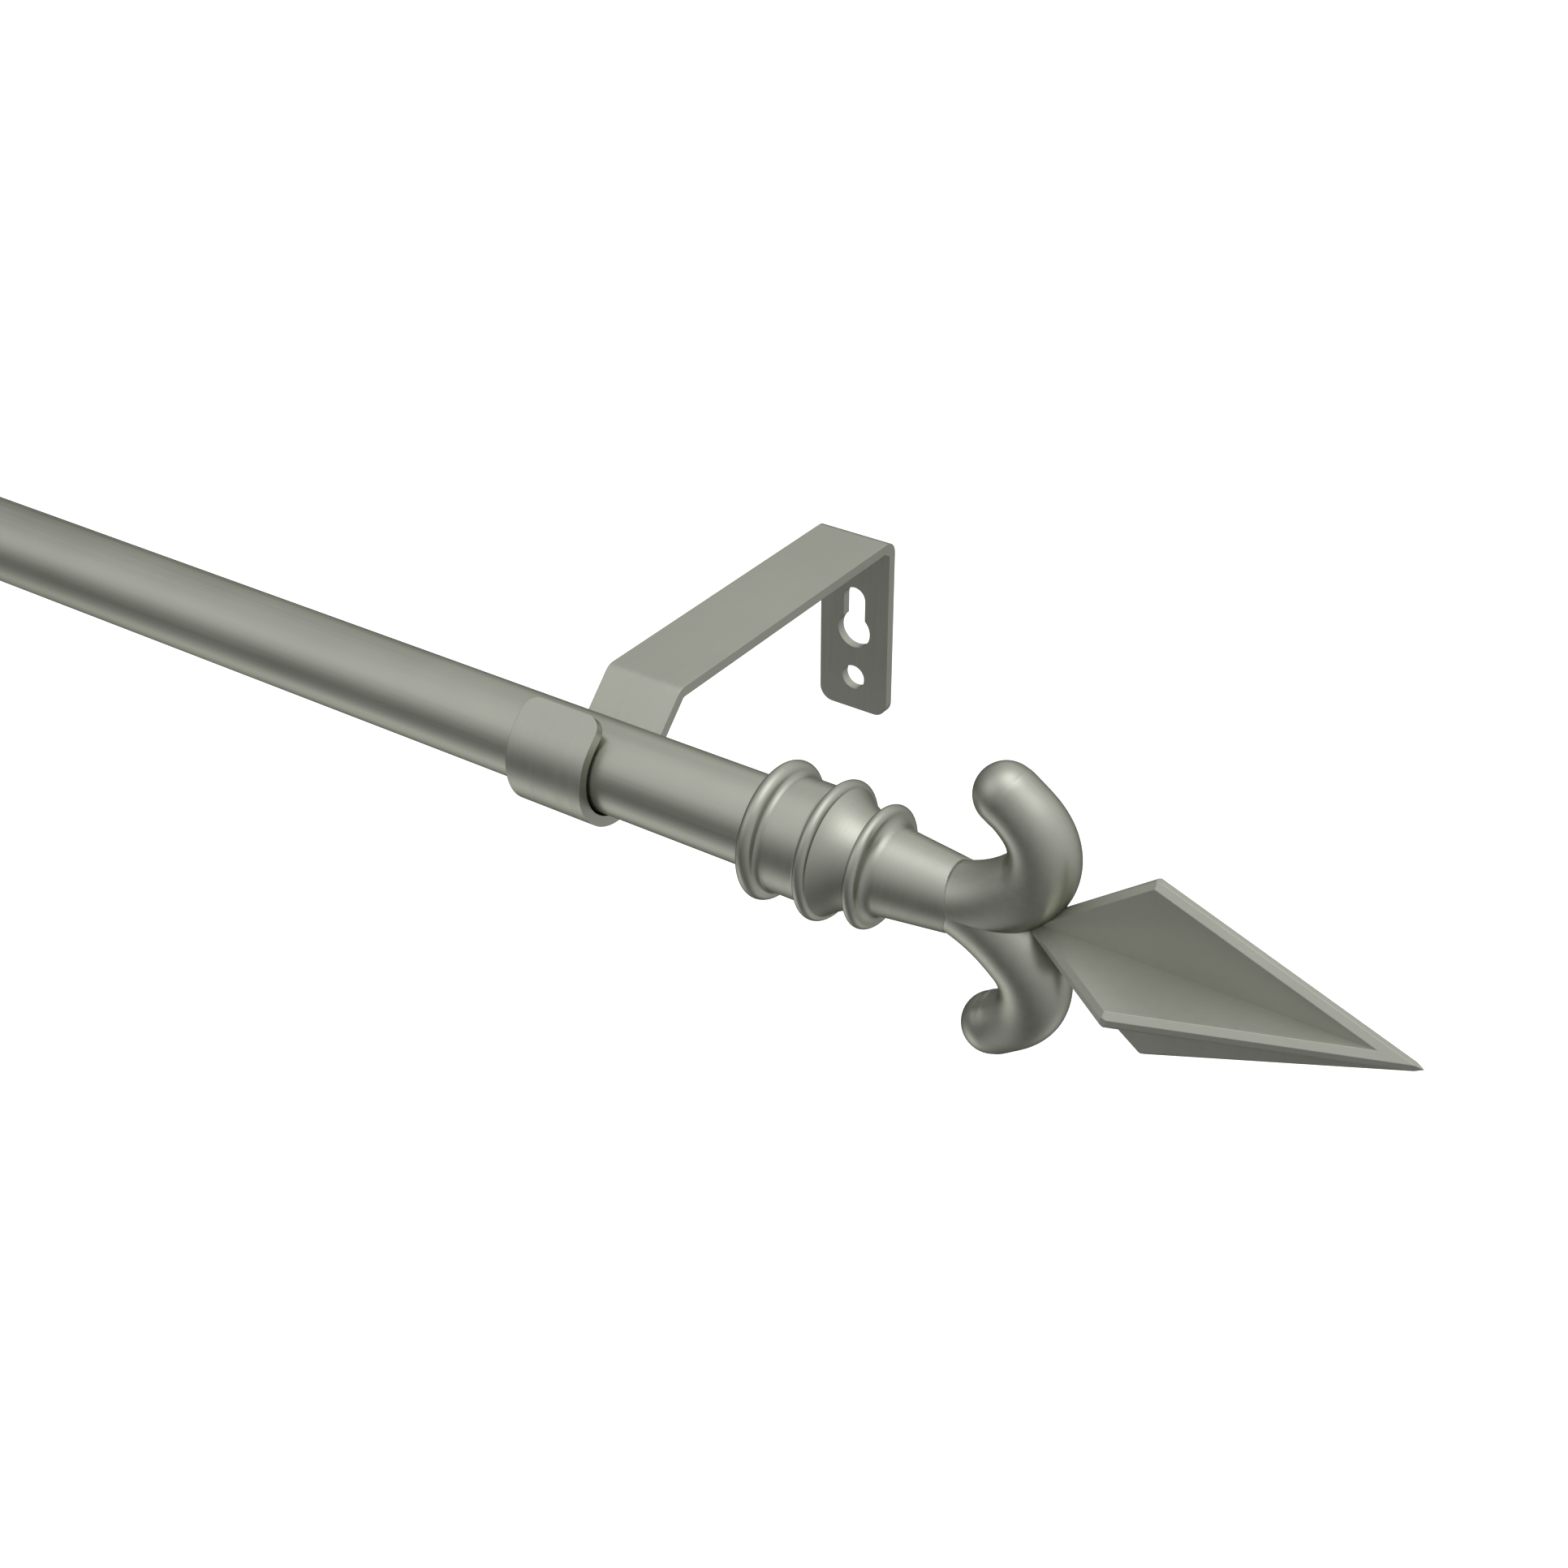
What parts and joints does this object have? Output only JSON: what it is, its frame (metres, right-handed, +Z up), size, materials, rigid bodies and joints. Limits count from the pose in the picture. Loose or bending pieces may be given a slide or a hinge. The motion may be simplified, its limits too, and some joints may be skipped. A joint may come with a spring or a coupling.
{
  "type": "curtain rod with brackets",
  "caption": "Telescoping round metal curtain rod on bent strap wall brackets with open cradles, with a beaded collar, paired scrolls and a four-bladed spear point at each end.",
  "frame": {"origin": "centre of the right bracket's lower screw hole, on the wall plane", "axes": "+X along the rod towards the right finial, +Y into the wall, +Z up"},
  "size_m": [0.906, 0.106, 0.0602],
  "materials": {
    "bracket_steel": "satin nickel, warm grey",
    "tube_steel": "satin nickel, warm grey",
    "collar_metal": "satin nickel, warm grey",
    "scroll_metal": "satin nickel, warm grey",
    "spear_metal": "satin nickel, warm grey",
    "screw_steel": "zinc plated",
    "guide_plastic": "moulded, fine matt"
  },
  "bodies": {
    "wall_bracket": {"right_bracket": "bracket_steel"},
    "far_bracket": {"left_bracket": "bracket_steel"},
    "rod": {"outer_tube": "tube_steel", "tube_mouth_ring": "guide_plastic"},
    "inner_rod": {"inner_tube": "tube_steel", "inner_guide": "guide_plastic"},
    "right_finial": {"right_collar": "collar_metal", "right_scrolls": "scroll_metal", "right_spear": "spear_metal", "right_stud": "screw_steel"},
    "left_finial": {"left_collar": "collar_metal", "left_scrolls": "scroll_metal", "left_spear": "spear_metal", "left_stud": "screw_steel", "left_reducer": "guide_plastic"},
    "right_screw": {"right_set_screw": "screw_steel"},
    "left_screw": {"left_set_screw": "screw_steel"}
  },
  "joints": [
    {"name": "rod_lift", "type": "slide", "parent": "wall_bracket", "child": "rod", "axis": [0, 0.7071, 0.7071], "range_m": [0, 0.03]},
    {"name": "telescope", "type": "slide", "parent": "rod", "child": "inner_rod", "axis": [-1, 0, 0], "range_m": [0, 0.5]},
    {"name": "bracket_spacing", "type": "slide", "parent": "wall_bracket", "child": "far_bracket", "axis": [-1, 0, 0], "range_m": [0, 0.5]},
    {"name": "right_finial_pull", "type": "slide", "parent": "rod", "child": "right_finial", "axis": [1, 0, 0], "range_m": [0, 0.03]},
    {"name": "left_finial_pull", "type": "slide", "parent": "inner_rod", "child": "left_finial", "axis": [-1, 0, 0], "range_m": [0, 0.03]},
    {"name": "right_screw_out", "type": "slide", "parent": "right_finial", "child": "right_screw", "axis": [0, 0.7071, -0.7071], "range_m": [0, 0.0015]},
    {"name": "left_screw_out", "type": "slide", "parent": "left_finial", "child": "left_screw", "axis": [0, 0.7071, -0.7071], "range_m": [0, 0.0015]}
  ],
  "couplings": [
    {"joint": "bracket_spacing", "follows": "telescope", "ratio": 1}
  ]
}
